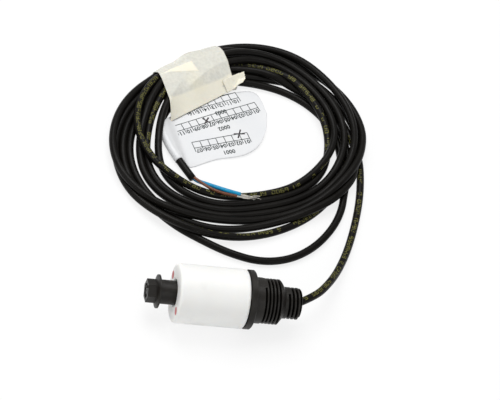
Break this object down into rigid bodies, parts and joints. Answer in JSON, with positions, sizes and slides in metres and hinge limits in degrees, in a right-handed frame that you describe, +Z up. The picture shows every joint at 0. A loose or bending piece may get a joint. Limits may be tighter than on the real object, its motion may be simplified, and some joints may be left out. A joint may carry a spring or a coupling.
{
  "type": "level sensor",
  "caption": "Magnetic float level sensor: white float sliding on a black stem with flange and two threads, retaining nut, and a tied coil of two-core cable.",
  "frame": {"origin": "on the surface that the part lies on, under the middle of the sensor without its cable", "axes": "+X along the sensor's axis from the retaining nut to the cable end, +Y towards the coil, +Z up"},
  "size_m": [0.1414, 0.1913, 0.03],
  "materials": {
    "black_moulding": "moulded, slightly satin",
    "white_float": "moulded, slightly translucent",
    "red_marker": "moulded plug",
    "magnet": "sintered ferrite",
    "potting_resin": "cast, glossy",
    "reed_glass": "drawn, clear green tint",
    "reed_lead": "tinned",
    "brown_insulation": "extruded, smooth",
    "blue_insulation": "extruded, smooth",
    "shrink_sleeve": "shrunk, dull",
    "cable_jacket": "extruded, satin",
    "tinned_copper": "tinned strands",
    "paper_tape": "crepe paper, adhesive backed",
    "label_paper": "coated paper"
  },
  "bodies": {
    "sensor": {"probe_body": "black_moulding", "retaining_nut": "black_moulding", "potting_resin": "potting_resin", "reed_capsule": "reed_glass", "reed_blade_front": "reed_lead", "reed_blade_rear": "reed_lead", "brown_inner_wire": "brown_insulation", "blue_inner_wire": "blue_insulation", "front_joint_sleeve": "shrink_sleeve", "rear_joint_sleeve": "shrink_sleeve", "cable_lead": "cable_jacket", "cable_coil": "cable_jacket", "cable_loop": "cable_jacket", "cable_tail": "cable_jacket", "brown_core": "brown_insulation", "blue_core": "blue_insulation", "brown_strands": "tinned_copper", "blue_strands": "tinned_copper", "tape_wrap": "paper_tape", "flag_label": "label_paper"},
    "float": {"float_body": "white_float", "upper_marker": "red_marker", "lower_marker": "red_marker", "upper_magnet": "magnet", "lower_magnet": "magnet"}
  },
  "joints": [
    {"name": "float_slide", "type": "slide", "parent": "sensor", "child": "float", "axis": [-1, 0, 0], "range_m": [0, 0.0078]}
  ]
}
